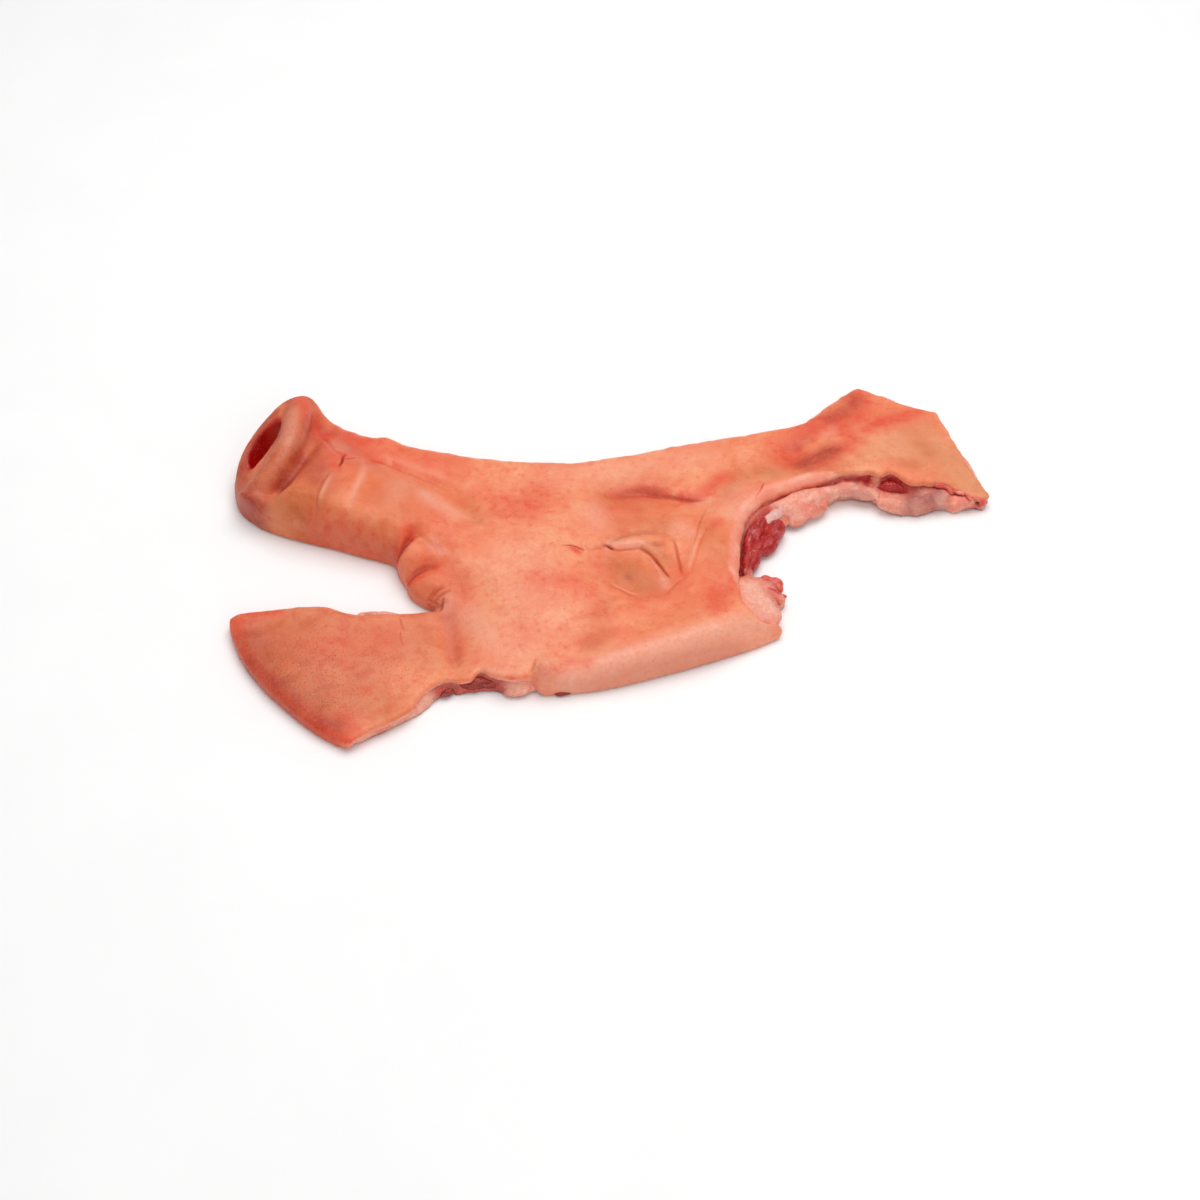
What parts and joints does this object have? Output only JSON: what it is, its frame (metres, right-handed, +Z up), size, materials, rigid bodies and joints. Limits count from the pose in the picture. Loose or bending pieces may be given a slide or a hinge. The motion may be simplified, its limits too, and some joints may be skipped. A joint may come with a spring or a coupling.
{
  "type": "pork face mask",
  "caption": "Flat half of a boned-out pork face, skin side up: snout, mouth slit, shut eye, cheek, chin flap and neck flap, ear cut away.",
  "frame": {"origin": "middle of the mask's box, on the surface that it lies on", "axes": "+X from the snout to the neck, +Y from the jowl to the middle line of the face, +Z up, out of the skin"},
  "size_m": [0.4028, 0.2468, 0.0332],
  "materials": {
    "skin": "raw pork skin, pale pink to tan, satin and slightly moist",
    "flesh": "raw cut flesh and fat, moist"
  },
  "bodies": {
    "root": {"pork_mask": "skin"}
  },
  "joints": []
}
